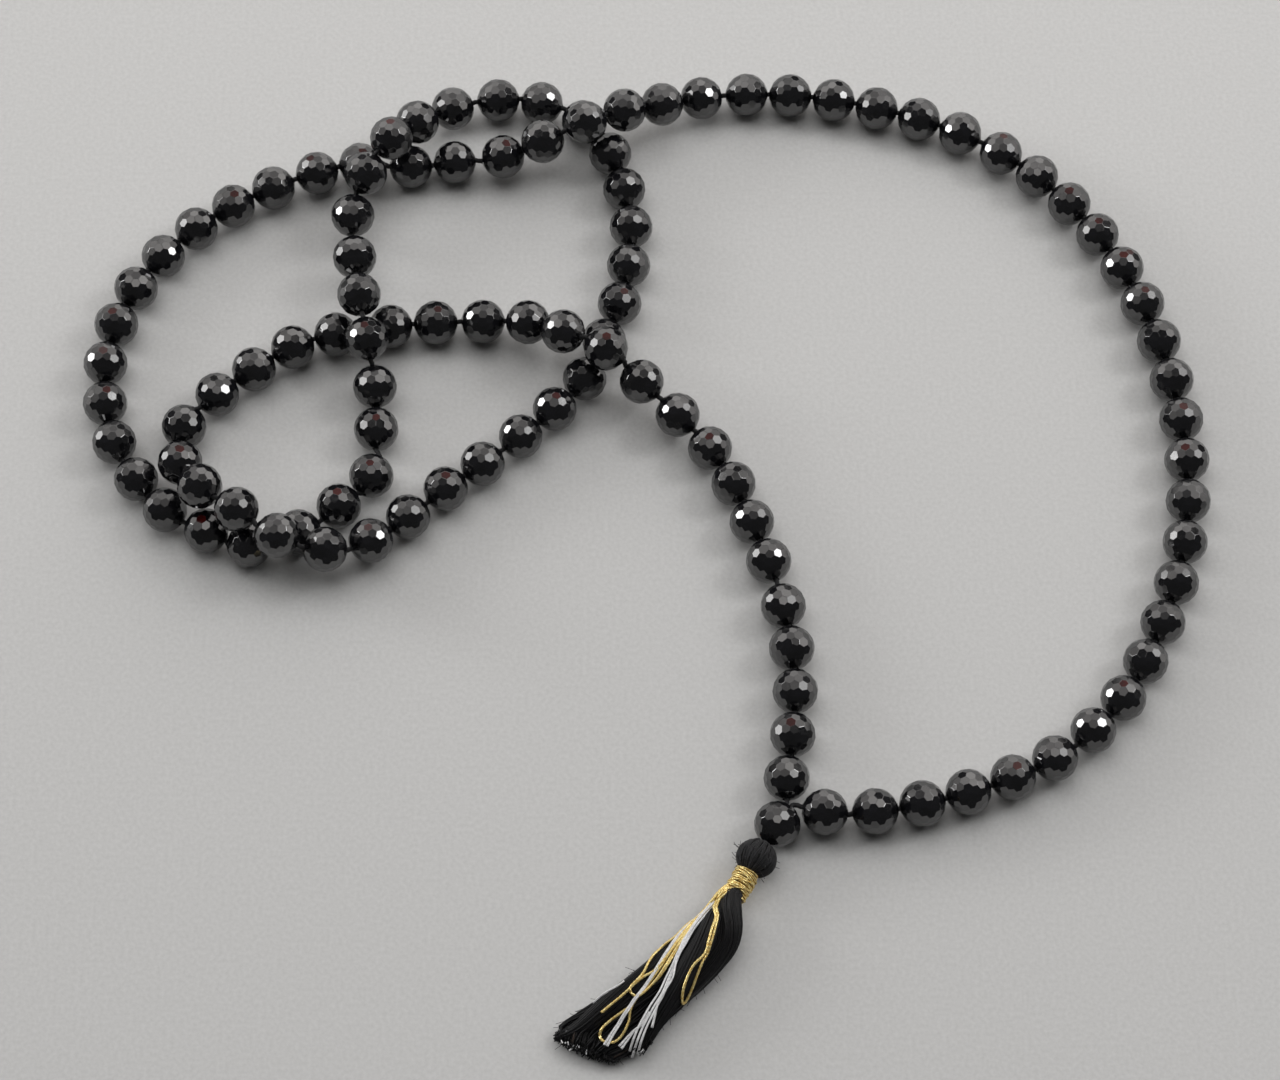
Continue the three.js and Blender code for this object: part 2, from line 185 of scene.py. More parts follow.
def walk_string():
    """The centres of the head bead and of beads 1 to 108, each a pitch from the last along the route."""
    line = smooth_line([HEAD, *ROUTE, HEAD], ROUTE_STEPS)
    line[:, 2] = np.maximum(line[:, 2], REST_HEIGHT)
    centres = [np.array(HEAD)]
    wanted = HEAD_GAP
    for before, here in zip(line, line[1:]):
        far = np.linalg.norm(here - centres[-1])
        if far >= wanted:
            near = np.linalg.norm(before - centres[-1])
            centres.append(before + (here - before) * (wanted - near) / (far - near))
            if len(centres) > BEAD_COUNT:
                break
            wanted = PITCH + PLAY.get(len(centres) - 1, 0)
    return centres


CENTRES = walk_string()
GATHER = np.array(HEAD) - GATHER_BACK * TASSEL_LINE


def neighbour(n):
    """The place that the beads next to place n face: a bead's centre, or where both strands gather."""
    return CENTRES[n] if 1 <= n <= BEAD_COUNT else GATHER


def axis_of(n):
    """The direction of a bead's bore."""
    return TASSEL_LINE if n == 0 else unit(neighbour(n + 1) - neighbour(n - 1))


def body_of_bead(n):
    """A bead that turns on the string is a body of its own; the others go with their piece of string."""
    own = f"bead_{n:02d}"
    if own in frame["bodies"]:
        return own
    return next((body for _, body, first, last, _ in STRINGS if first <= n <= last), "laid_string")


def bead_nodes():
    """The CAD nodes that hold beads, by the number of their first bead: bead_07, beads_30_to_34."""
    names = [name for name in frame["nodes"] if name.startswith(("bead_", "beads_"))]
    return {0: "head_bead", **{int(name.split("_")[1]): name for name in names}}


def fit(piece, body, node=None):
    """Says which body a piece rides on and the CAD node that it stands for, if any."""
    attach(piece, body)
    if node:
        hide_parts(node)


# ---- Mesh helpers ----
def new_object(name, verts, faces, material, smooth=True):
    mesh = bpy.data.meshes.new(name)
    mesh.from_pydata([tuple(v) for v in verts], [], faces)
    mesh.validate()
    mesh.polygons.foreach_set("use_smooth", [smooth] * len(mesh.polygons))
    mesh.materials.append(material)
    mesh.update()
    obj = bpy.data.objects.new(name, mesh)
    bpy.context.scene.collection.objects.link(obj)
    return obj


def carry_frames(points):
    """Tangents with a side and an up vector carried along the line without twist."""
    points = np.asarray(points)
    tangents = np.gradient(points, axis=0)
    tangents /= np.linalg.norm(tangents, axis=1)[:, None]
    side = np.cross(tangents[0], UP)
    if np.linalg.norm(side) < 1e-3:
        side = np.array([1.0, 0.0, 0.0])
    sides = []
    for t in tangents:
        side = unit(side - t * (side @ t))
        sides.append(side)
    sides = np.array(sides)
    return tangents, sides, np.cross(sides, tangents)


class Shape:
    """Vertices and faces that grow into one mesh."""

    def __init__(self):
        self.verts = []
        self.faces = []

    def tube(self, points, radii, sides=6, lobes=0, depth=0.0, turns=0.0):
        """A closed tube; lobes, depth and turns give it twisted plies."""
        points = np.asarray(points, float)
        radii = np.broadcast_to(radii, len(points))
        _, side, up = carry_frames(points)
        run = distances_along(points)
        start = sum(len(v) for v in self.verts)
        angles = np.arange(sides) * 2 * math.pi / sides
        twist = 2 * math.pi * turns * run / run[-1]
        for i in range(len(points)):
            r = radii[i] * (1 + depth * np.cos(lobes * (angles - twist[i])))
            x, y = r * np.cos(angles), r * np.sin(angles)
            self.verts.append(points[i] + x[:, None] * side[i] + y[:, None] * up[i])
        for i in range(len(points) - 1):
            a, b = start + i * sides, start + (i + 1) * sides
            self.faces += [(a + k, b + k, b + (k + 1) % sides, a + (k + 1) % sides) for k in range(sides)]
        last = start + (len(points) - 1) * sides
        self.faces.append(tuple(range(start, start + sides)))
        self.faces.append(tuple(range(last + sides - 1, last - 1, -1)))

    def make(self, name, material):
        return new_object(name, np.concatenate(self.verts), self.faces, material)


# ---- Materials ----
STONE_ROUGHNESS = (0.03, 0.11)  # from the best polished places to the dullest


def new_material(name, **values):
    """A material, its nodes and links, and its shader with the given values on its own sockets."""
    material = bpy.data.materials.new(name)
    material.use_nodes = True
    shader = material.node_tree.nodes["Principled BSDF"]
    for key, value in values.items():
        shader.inputs[key.replace("_", " ")].default_value = value
    return material, material.node_tree.nodes, material.node_tree.links, shader


def noise(nodes, links, scale, detail):
    place = nodes.new("ShaderNodeTexCoord")
    texture = nodes.new("ShaderNodeTexNoise")
    texture.inputs["Scale"].default_value = scale
    texture.inputs["Detail"].default_value = detail
    links.new(place.outputs["Object"], texture.inputs["Vector"])
    return texture.outputs["Fac"]


def colour_by(nodes, links, shader, source, stops):
    """Colours the surface by the source, from one stop's colour to the next."""
    ramp = nodes.new("ShaderNodeValToRGB")
    for element, (at, colour) in zip(ramp.color_ramp.elements, stops):
        element.position = at
        element.color = (*colour, 1)
    links.new(source, ramp.inputs["Fac"])
    links.new(ramp.outputs["Color"], shader.inputs["Base Color"])


def bump(nodes, links, shader, height, strength, distance):
    node = nodes.new("ShaderNodeBump")
    node.inputs["Strength"].default_value = strength
    node.inputs["Distance"].default_value = distance
    links.new(height, node.inputs["Height"])
    links.new(node.outputs["Normal"], shader.inputs["Normal"])


def stone_material(name, dark, light, ior):
    """Polished stone: nearly even colour with faint clouds, and a polish that varies a little."""
    material, nodes, links, shader = new_material(name, IOR=ior)
    clouds = noise(nodes, links, scale=420, detail=4)
    colour_by(nodes, links, shader, clouds, [(0.35, dark), (0.75, light)])
    spread = nodes.new("ShaderNodeMapRange")
    spread.inputs["To Min"].default_value, spread.inputs["To Max"].default_value = STONE_ROUGHNESS
    links.new(noise(nodes, links, scale=900, detail=2), spread.inputs["Value"])
    links.new(spread.outputs["Result"], shader.inputs["Roughness"])
    return material


def fibre_material(name, dark, light, roughness, scale, sheen=0.0, metallic=0.0, specular=0.5):
    """Thread or yarn: fine fibres that vary in colour and stand out a little."""
    material, nodes, links, shader = new_material(
        name, Roughness=roughness, Metallic=metallic, Sheen_Weight=sheen, Sheen_Roughness=0.4,
        Specular_IOR_Level=specular,
    )
    fibres = noise(nodes, links, scale, detail=5)
    colour_by(nodes, links, shader, fibres, [(0.3, dark), (0.7, light)])
    bump(nodes, links, shader, fibres, strength=0.5, distance=0.0001)
    return material


BLACK_STONE = stone_material("black_stone", (0.0030, 0.0030, 0.0037), (0.0072, 0.0072, 0.0090), ior=1.95)
# Dark red for a painted reflection on a facet at the top of some beads.
PAINTED_RED_REFLECTION = stone_material("painted_red_reflection", (0.022, 0.002, 0.002), (0.052, 0.005, 0.004), ior=1.42)
STRING_BLACK = fibre_material(
    "black_string", (0.004, 0.004, 0.0045), (0.016, 0.016, 0.018), roughness=0.75, scale=2500, sheen=0.06
)
BALL_YARN = fibre_material(
    "ball_yarn", (0.006, 0.006, 0.0065), (0.020, 0.020, 0.022), roughness=0.85, scale=1800, sheen=0.1
)
YARN_BLACK = fibre_material(
    "black_yarn", (0.0015, 0.0015, 0.0018), (0.005, 0.005, 0.006), roughness=0.5, scale=1800, sheen=0.01,
    specular=0.3,
)
YARN_BROWN = fibre_material(
    "brownish_yarn", (0.010, 0.006, 0.0045), (0.035, 0.021, 0.014), roughness=0.8, scale=1800, sheen=0.1
)
GOLD = fibre_material(
    "gold_thread", (0.60, 0.36, 0.07), (1.0, 0.88, 0.42), roughness=0.26, scale=2600, metallic=0.5
)
GOLD_SHADE = fibre_material(
    "gold_shade", (0.10, 0.055, 0.012), (0.30, 0.17, 0.04), roughness=0.5, scale=2600, metallic=0.3
)
WHITE = fibre_material(
    "white_cotton", (0.60, 0.60, 0.62), (0.88, 0.88, 0.87), roughness=0.8, scale=2500, sheen=0.1
)


# ---- Beads: sizes in mm, in the bead's own frame, its bore along Y ----
BEAD_SEED = 108
STONE_RADIUS = 4.0
FACET_ROWS = 8
FACETS_ROUND = 16
FACE_DISTANCE = 3.885
MOUTH_DISTANCE = 3.88
NEAR_MOUTH = 3.7  # facets across the bore and further out than this are the mouth's
ACROSS_BORE = 0.999  # least cosine between the bore and such a facet's normal
OFF_FACETS = (0.3, 0.5, 0.81)  # a direction that no facet faces
TURN_SPREAD = 0.02  # how far the facets are out of true round the bore and towards it, in radians
TILT_SPREAD = 0.014
DISTANCE_SPREAD = 0.012
SIZE_SPREAD = 0.004  # how far the beads differ, as a share of their size
MERGE_CORNERS = 0.045  # corners closer than this become one
SHORTEST_EDGE = 0.01
EASED_EDGE = 0.035
BORE_RADIUS = 0.6
CHAMFER_WIDTH = 0.14
CHAMFER_DEPTH = 0.16
RED_SHARE = 0.34  # share of the beads with a painted dark red reflection on one facet
SECOND_RED_SHARE = 0.25  # share of those that have two
RED_FACES = (0.17, 0.985)  # Y and Z of the direction that it faces
RED_SPREAD = 0.08  # how far it turns from there to either side
SMALLEST_FACET = 8e-7  # square metres; the eased edges are smaller


def facet_planes(rng):
    """Unit normals and distances of the two mouth facets and the rows of facets between them."""
    mouth = math.acos(MOUTH_DISTANCE / STONE_RADIUS)
    normals = [(0, 1, 0), (0, -1, 0)]
    distances = [MOUTH_DISTANCE, MOUTH_DISTANCE]
    for row in range(FACET_ROWS):
        polar = mouth + (math.pi - 2 * mouth) * (row + 0.5) / FACET_ROWS
        for k in range(FACETS_ROUND):
            a = 2 * math.pi * (k + 0.5 * (row % 2)) / FACETS_ROUND + rng.normal(0, TURN_SPREAD)
            p = polar + rng.normal(0, TILT_SPREAD)
            normals.append((math.sin(p) * math.sin(a), math.cos(p), math.sin(p) * math.cos(a)))
            distances.append(FACE_DISTANCE + rng.normal(0, DISTANCE_SPREAD))
    return np.array(normals), np.array(distances)


def cut_stone(rng):
    """One faceted bead: the solid that the facet planes enclose, with its edges eased, drilled."""
    normals, distances = facet_planes(rng)
    dual = bmesh.new()
    for n, d in zip(normals, distances):
        dual.verts.new(n / d)
    dual.verts.index_update()
    bmesh.ops.convex_hull(dual, input=dual.verts)
    around = [[] for _ in normals]
    stone = bmesh.new()
    for face in dual.faces:
        ids = [v.index for v in face.verts]
        corner = stone.verts.new(np.linalg.solve(normals[ids], distances[ids]))
        for i in ids:
            around[i].append(corner)
    dual.free()
    for n, corners in zip(normals, around):
        x = unit(np.cross(n, OFF_FACETS))
        y = np.cross(n, x)
        corners.sort(key=lambda v: math.atan2(np.array(v.co) @ y, np.array(v.co) @ x))
        if len(corners) > 2:
            stone.faces.new(corners)
    bmesh.ops.remove_doubles(stone, verts=stone.verts, dist=MERGE_CORNERS)
    bmesh.ops.dissolve_degenerate(stone, edges=stone.edges, dist=SHORTEST_EDGE)
    bmesh.ops.bevel(
        stone, geom=stone.edges[:], offset=EASED_EDGE, segments=1, affect="EDGES", clamp_overlap=True
    )
    drill(stone)
    return stone


def next_round(ring):
    """The ring's items, each moved on by one."""
    return ring[1:] + ring[:1]


def bore_ring(stone, loop, radius, height):
    """New vertices round the bore, one in line with each vertex of the loop."""
    ring = []
    for v in loop:
        out = unit(np.array([v.co.x, 0, v.co.z])) * radius
        ring.append(stone.verts.new((out[0], height, out[2])))
    return ring


def drill(stone):
    """Opens the two mouth facets, with a small chamfer, and joins them by the bore."""
    rims = []
    for way in (1, -1):
        level = [f for f in stone.faces if f.normal.y * way > ACROSS_BORE]
        mouths = [f for f in level if f.calc_center_median().y * way > NEAR_MOUTH]
        mouth = max(mouths, key=lambda f: f.calc_area())
        loop = list(mouth.verts)
        stone.faces.remove(mouth)
        chamfer = bore_ring(stone, loop, BORE_RADIUS + CHAMFER_WIDTH, way * MOUTH_DISTANCE)
        rim = bore_ring(stone, loop, BORE_RADIUS, way * (MOUTH_DISTANCE - CHAMFER_DEPTH))
        for outer, inner in ((loop, chamfer), (chamfer, rim)):
            for corners in zip(outer, next_round(outer), next_round(inner), inner):
                stone.faces.new(corners)
        rims += [stone.edges.get(ends) for ends in zip(rim, next_round(rim))]
    bmesh.ops.bridge_loops(stone, edges=rims)
    bmesh.ops.recalc_face_normals(stone, faces=stone.faces)


def redden(mesh, rng):
    """Paints a dark red reflection on the facet that faces up and a little back, and sometimes on its
    neighbour.
    """
    facing = Vector((rng.normal(0, RED_SPREAD), *RED_FACES))
    facets = [p for p in mesh.polygons if p.area > SMALLEST_FACET]
    facets.sort(key=lambda p: -p.normal.dot(facing))
    for polygon in facets[: 1 + (rng.random() < SECOND_RED_SHARE)]:
        polygon.material_index = 1


def add_bead(n, rng):
    """A stone of its own cut, turned at random about its bore."""
    stone = cut_stone(rng)
    name = f"stone_{n:03d}" if n else "stone_head"
    mesh = bpy.data.meshes.new(name)
    stone.to_mesh(mesh)
    stone.free()
    bore = axis_of(n)
    side = unit(np.cross(bore, UP))
    up = np.cross(side, bore)
    spin = rng.random() * 2 * math.pi
    x = side * math.cos(spin) + up * math.sin(spin)
    size = MM * (1 + rng.normal(0, SIZE_SPREAD))
    turn = np.stack([x, bore, np.cross(x, bore)]) * size
    co = np.zeros(len(mesh.vertices) * 3)
    mesh.vertices.foreach_get("co", co)
    mesh.vertices.foreach_set("co", (co.reshape(-1, 3) @ turn + CENTRES[n]).ravel())
    mesh.materials.append(BLACK_STONE)
    mesh.materials.append(PAINTED_RED_REFLECTION)
    mesh.update()
    if rng.random() < RED_SHARE:
        redden(mesh, rng)
    bead = bpy.data.objects.new(name, mesh)
    bpy.context.scene.collection.objects.link(bead)
    return bead


def add_beads():
    rng = np.random.default_rng(BEAD_SEED)
    nodes = bead_nodes()
    for n in range(BEAD_COUNT + 1):
        fit(add_bead(n, rng), body_of_bead(n), nodes.get(n))


# ---- String, in metres ----
CORD_RADIUS = 0.00043
PLIES = 3
PLY_DEPTH = 0.13  # share of the radius between the plies
PLY_PITCH = 0.0024
STRING_STEP = 0.0003
STRING_EASING = 4  # times that the bends at the mouths are smoothed
GAP_SHARE = 0.8  # how far each piece of string reaches over the gap at its ends
STRANDS_MEET = 0.0034  # from the head bead's centre to the ends of both strands
STRANDS_PART = 0.0012  # from there to where they lie clear of each other
STRAND_GAP = 0.0006  # from the tassel's line to each strand there
MEETING_SHARE = 0.6  # of that gap, left where they meet


def link_points(n, share=1.0, steps=8):
    """The string from bead n's mouth over the gap to the next bead's, or only the first share of it."""
    a = CENTRES[n] + axis_of(n) * BORE_END
    b = neighbour(n + 1) - axis_of(n + 1) * BORE_END
    span = np.linalg.norm(b - a)
    t = np.linspace(0, share, steps)[:, None]
    leaving = (2 * t**3 - 3 * t**2 + 1) * a + (t**3 - 2 * t**2 + t) * axis_of(n) * span
    arriving = (3 * t**2 - 2 * t**3) * b + (t**3 - t**2) * axis_of(n + 1) * span
    return leaving + arriving


def link_end(n):
    """The last share of the gap after bead n, ending at the next bead's mouth."""
    steps = 16
    points = link_points(n, steps=steps)
    return points[round((1 - GAP_SHARE) * (steps - 1)) :]


def head_end(way):
    """One end of the string, from inside the head bead's bore to just outside it."""
    meeting = np.array(HEAD) - STRANDS_MEET * TASSEL_LINE
    aside = way * STRAND_GAP * TASSEL_SIDE
    return [meeting + MEETING_SHARE * aside, meeting - STRANDS_PART * TASSEL_LINE + aside]


def string_line(first, last):
    """The string through beads first to last, and most of the way over the gap at each end."""
    line = head_end(-1) if first == 1 else list(link_end(first - 1))
    for n in range(first, last + 1):
        line += [CENTRES[n] + axis_of(n) * s for s in np.linspace(-BORE_END, BORE_END, 7)[1:-1]]
        if n < last:
            line += list(link_points(n))
    if last == BEAD_COUNT:
        line += [CENTRES[last] + axis_of(last) * BORE_END, *reversed(head_end(1))]
    else:
        line += list(link_points(last, GAP_SHARE))
    return relaxed(np.array(line))


def relaxed(line):
    """The line in even steps, with its bends at the beads' mouths eased."""
    run = distances_along(line)
    even = np.linspace(0, run[-1], int(run[-1] / STRING_STEP))
    line = np.column_stack([np.interp(even, run, line[:, k]) for k in range(3)])
    for _ in range(STRING_EASING):
        line[1:-1] = (line[:-2] + 2 * line[1:-1] + line[2:]) / 4
    return line


def add_strings():
    for name, body, first, last, node in STRINGS:
        line = string_line(first, last)
        length = distances_along(line)[-1]
        shape = Shape()
        shape.tube(line, CORD_RADIUS, sides=12, lobes=PLIES, depth=PLY_DEPTH, turns=length / PLY_PITCH)
        piece = shape.make(name, STRING_BLACK)
        fit(piece, body, node)


# ---- Tassel: sizes in mm, places by their distance from the head bead's centre along the tassel's line ----
TASSEL_SEED = 33
SWING_AT = 4.15  # the tassel swings about this place
SWING_RANGE = next(joint["range_deg"] for joint in frame["joints"] if joint["name"] == "tassel_swing")
HEAD_CLEAR = 4.25  # from the head bead's centre to the nearest yarn
NECK_HEIGHT = 4.0
TASSEL_HEIGHT = 3.6

# The doubled string in the head bead: place, and how far each strand lies from the line.
NECK_PLACES = [(-4.4, 0.5), (-2, 0.4), (3.2, 0.4), (3.9, 0.3), (4.6, 0.2)]
NECK_STRAND_RADIUS = 0.36
KNOT_AT = 3.85
KNOT_TURNS = 2.6
KNOT_ADVANCE = 0.03  # along the line for each radian
KNOT_RADIUS = 0.55
KNOT_STRAND_RADIUS = 0.24

BALL_AT = 7.05
BALL_HALF = 3.05  # half its length along the line
BALL_RADIUS = 3.3
BALL_HEIGHT = 3.9
BALL_THREADS = 66
BALL_THREAD_RADIUS = 0.2
THREAD_END = 1.46  # latitude at which the threads of the ball end, in radians
THREAD_SPREAD = 0.015  # how far they are out of true round the ball, in radians
THREAD_SWAY = 0.06  # and how far they sway on the way
THREAD_RISE = 0.01  # how far they stand out of the ball or in, as a share of its size
RIBS = 7
RIB_RISE = 0.012
STRAYS = 26
STRAY_RADIUS = 0.07
STRAY_STARTS = (-1.1, 0.2)  # latitudes
STRAY_RUN = 0.9  # radians towards the binding
STRAY_SLANT = 0.4  # radians round the ball for each of those
STRAY_SPREAD = 0.1
STRAY_SIZE = 1.035  # of the ball's
BALL_CORE_AT = 7.3
BALL_CORE_HALF = 2.75
BALL_CORE_RADIUS = 3.12
BALL_HAIRS = 34
HAIRS_LEFT = 22  # of those, on the side to the viewer's left
BALL_HAIR_RADIUS = 0.045

WRAP_FROM = 9.9
WRAP_TO = 15.0
WRAP_TURNS = 12
WRAP_STEPS = 22  # for each turn
WRAP_THREAD_RADIUS = 0.17
COIL_RADIUS = 1.7  # at the ball
COIL_FLARE = 0.2  # how far the coils widen over the first share of the binding
FLARE_SHARE = 0.12
COIL_WIDENING = 0.1  # and evenly over all of it
COIL_UNEVEN = 0.05
CROSSINGS = 7
CROSSINGS_FROM = 10.5
CROSSINGS_APART = 0.6
CROSSING_RADIUS = 2.14
CROSSING_THREAD_RADIUS = 0.14
PRESSED_FROM = 13.7
PRESSED_OVER = 0.9
PRESSED_BY = 0.9
UNDERLAY_RADII = (1.7, 1.85)  # at the ball and at the skirt
BOUND_RADIUS = 1.55


def tassel_point(distance, height=TASSEL_HEIGHT, aside=0.0):
    """A point at a distance along the tassel's line, at a height, and aside to the viewer's left."""
    p = np.array(HEAD) + TASSEL_LINE * distance * MM + TASSEL_SIDE * aside * MM
    p[2] = height * MM
    return p


def across(angle):
    """The direction across the tassel's line, turned from the viewer's left over the top."""
    return TASSEL_SIDE * math.cos(angle) + UP * math.sin(angle)


def clear_of_head(p):
    """The point, pressed out of the head bead as it stands at rest and at both ends of the tassel's swing."""
    for swing in (0, *SWING_RANGE):
        turn = math.radians(swing)
        bead = tassel_point(SWING_AT * (1 - math.cos(turn)), NECK_HEIGHT, SWING_AT * math.sin(turn))
        out = p - bead
        p = bead + out * max(1, HEAD_CLEAR * MM / np.linalg.norm(out))
    return p


def add_neck():
    """The doubled string through the head bead and its small knot at the ball."""
    shape = Shape()
    for way in (-1, 1):
        line = smooth_line([tassel_point(at, NECK_HEIGHT, way * aside) for at, aside in NECK_PLACES], 6)
        shape.tube(line, NECK_STRAND_RADIUS * MM, sides=9, lobes=PLIES, depth=PLY_DEPTH, turns=4)
    fit(shape.make("neck_strands", STRING_BLACK), "laid_string", "head_cord")
    shape = Shape()
    line = []
    for a in np.linspace(0, KNOT_TURNS * 2 * math.pi, 60):
        line.append(tassel_point(KNOT_AT + KNOT_ADVANCE * a, NECK_HEIGHT) + across(a) * KNOT_RADIUS * MM)
    shape.tube(line, KNOT_STRAND_RADIUS * MM, sides=8)
    fit(shape.make("neck_knot", STRING_BLACK), "tassel_head", "tassel_knot")


def ball_point(latitude, angle, size=1.0):
    """A point on the ball: latitude goes from the neck to the binding, angle as in across()."""
    reach = TASSEL_LINE * math.sin(latitude) * BALL_HALF + across(angle) * math.cos(latitude) * BALL_RADIUS
    return clear_of_head(tassel_point(BALL_AT, BALL_HEIGHT) + reach * size * MM)


def add_ball(rng):
    """A ball covered by threads that run from the neck to the binding, with a few that stray across them."""
    shape = Shape()
    latitudes = np.linspace(-THREAD_END, THREAD_END, 21)
    for k in range(BALL_THREADS):
        a = 2 * math.pi * k / BALL_THREADS + rng.normal(0, THREAD_SPREAD)
        size = 1 + rng.normal(0, THREAD_RISE) + RIB_RISE * math.cos(RIBS * a)
        sway = rng.normal(0, THREAD_SWAY)
        line = [ball_point(p, a + sway * math.sin(2 * p), size) for p in latitudes]
        shape.tube(line, BALL_THREAD_RADIUS * MM, sides=6)
    for _ in range(STRAYS):
        a, start = rng.uniform(0, 2 * math.pi), rng.uniform(*STRAY_STARTS)
        line = []
        for t in np.linspace(0, STRAY_RUN, 6):
            angle = a + rng.uniform(-STRAY_SPREAD, STRAY_SPREAD) + STRAY_SLANT * t
            line.append(ball_point(start + t, angle, STRAY_SIZE))
        shape.tube(smooth_line(line, 3), STRAY_RADIUS * MM, sides=5)
    latitudes = np.linspace(-1.5, 1.5, 25)
    core = [tassel_point(BALL_CORE_AT + BALL_CORE_HALF * math.sin(p), BALL_HEIGHT) for p in latitudes]
    shape.tube(core, BALL_CORE_RADIUS * MM * np.cos(latitudes), sides=40)
    fit(shape.make("thread_ball", BALL_YARN), "tassel_head", "tassel_ball")


def add_ball_hairs(rng):
    """Short loose hairs on the upper half of the ball, most of them to the viewer's left."""
    shape = Shape()
    for k in range(BALL_HAIRS):
        angle = rng.normal(0.35, 0.45) if k < HAIRS_LEFT else rng.uniform(0, math.pi)
        start = ball_point(rng.uniform(-0.4, 1.0), angle, 0.98)
        out = unit(start - tassel_point(BALL_AT, BALL_HEIGHT))
        bend = rng.normal(0, 0.5, 3)
        reach = rng.uniform(0.4, 1.2) * MM
        line = [start, start + (out + 0.4 * bend) * reach * 0.5, start + (out + bend) * reach]
        shape.tube(smooth_line(line, 4), BALL_HAIR_RADIUS * MM, sides=4)
    fit(shape.make("ball_hairs", BALL_YARN), "tassel_head")


def wrap_point(at, angle, radius):
    """A point on the binding, pressed in under the lock of yarn that folds over its lower edge."""
    press = np.clip((at - PRESSED_FROM) / PRESSED_OVER, 0, 1) * max(0.0, math.sin(angle)) ** 2
    return tassel_point(at) + across(angle) * (radius - PRESSED_BY * press) * MM


def coil_radius(share, angle):
    """The coils widen from the ball downwards, and are a little uneven."""
    uneven = COIL_UNEVEN * math.sin(3.1 * angle) + COIL_UNEVEN * math.sin(0.37 * angle)
    return COIL_RADIUS + COIL_FLARE * min(1, share / FLARE_SHARE) + COIL_WIDENING * share + uneven


def add_binding(rng):
    """Gold thread wound round the neck of the tassel: close coils and some that cross them."""
    shape = Shape()
    steps = WRAP_TURNS * WRAP_STEPS
    line = []
    for i in range(steps + 1):
        s = i / steps
        a = 2 * math.pi * WRAP_TURNS * s
        at = WRAP_FROM + (WRAP_TO - WRAP_FROM) * s + 0.07 * math.sin(1.7 * a)
        line.append(wrap_point(at, a, coil_radius(s, a)))
    shape.tube(line, WRAP_THREAD_RADIUS * MM, sides=8, lobes=2, depth=0.16, turns=90)
    for k in range(CROSSINGS):
        at = CROSSINGS_FROM + CROSSINGS_APART * k
        lean, a0 = rng.uniform(0.5, 0.9) * (-1) ** k, rng.uniform(0, 6.28)
        line = []
        for a in np.linspace(a0, a0 + rng.uniform(4, 8), 44):
            radius = CROSSING_RADIUS + 0.04 * math.sin(5 * a + k)
            line.append(wrap_point(at + lean * math.sin(a - a0), a, radius))
        shape.tube(line, CROSSING_THREAD_RADIUS * MM, sides=6)
    fit(shape.make("gold_binding", GOLD), "tassel_head", "gold_wrap")


def add_underlay():
    """Shaded gold thread under the coils, which closes the gaps between them."""
    shape = Shape()
    line = [tassel_point(d) for d in np.linspace(WRAP_FROM + 0.1, WRAP_TO - 0.1, 12)]
    shape.tube(line, np.linspace(*UNDERLAY_RADII, len(line)) * MM, sides=24)
    fit(shape.make("gold_underlay", GOLD_SHADE), "tassel_head")


def add_bound_yarn():
    """The yarn inside the binding."""
    shape = Shape()
    line = [tassel_point(d) for d in np.linspace(WRAP_FROM, WRAP_TO - 0.4, 12)]
    shape.tube(line, BOUND_RADIUS * MM, sides=20)
    fit(shape.make("bound_yarn", YARN_BLACK), "tassel_head", "tassel_core")


# ---- Skirt: sizes in mm ----
# Centre, half width and half height of each station, as in the CAD model.
SKIRT = np.array([
    [15.3, -68, 3.6, 1.2, 1.2], [14.7, -69, 3.5, 2, 1.9], [13.8, -70.7, 3.3, 2.8, 2.4],
    [12.9, -72.9, 3.2, 3.3, 2.7], [11, -75.7, 3.1, 4.2, 2.8], [8.4, -78.6, 3, 5, 2.85],
    [5.1, -81.7, 2.8, 5.2, 2.7], [1.6, -84.9, 2.6, 5.4, 2.4], [-3.2, -88.6, 2.3, 6, 2.1],
    [-7.3, -91.8, 1.9, 6.6, 1.7], [-8.4, -93.8, 1.7, 5, 1.4],
])
ACROSS_AT_WRAP = np.array([0.863, -0.505, 0])
ACROSS_AT_END = np.array([0.94, -0.34, 0])
BEND_FROM = 14.8  # two places on the tassel's line, where the skirt hangs from the binding
BEND_TO = 16.4
LOWEST_STRAND = 0.3
LOWEST_HAIR = 0.2
STRAND_RADIUS = 0.17
BROWNISH_SHARE = 0.02  # share of the strands that are brownish

# The skirt's body: locks in a ring and inside it, each with its middle at a share of the way out.
RING_LOCKS = 8
RING_SHARE = 0.66
INNER_LOCKS = 3
INNER_SHARE = 0.28
LOCK_STRANDS = 38
LOCK_RADIUS = 0.36
LOCK_TWIST = 2.2 * math.pi
SWIRL = 2.0  # how far the locks turn round the skirt's middle, in radians

LOBE_STRANDS = 66
OUTER_STRANDS = 52  # of those, close round the lobe's core
LOBE_TWIST = 1.6  # radians
LOBE_ROOT = 14.7  # where the lobes start inside the binding
FOLDED_ROOT = 15.6  # and the one that folds over its edge
CORE_SHARE = 0.9  # of the lobe's radius

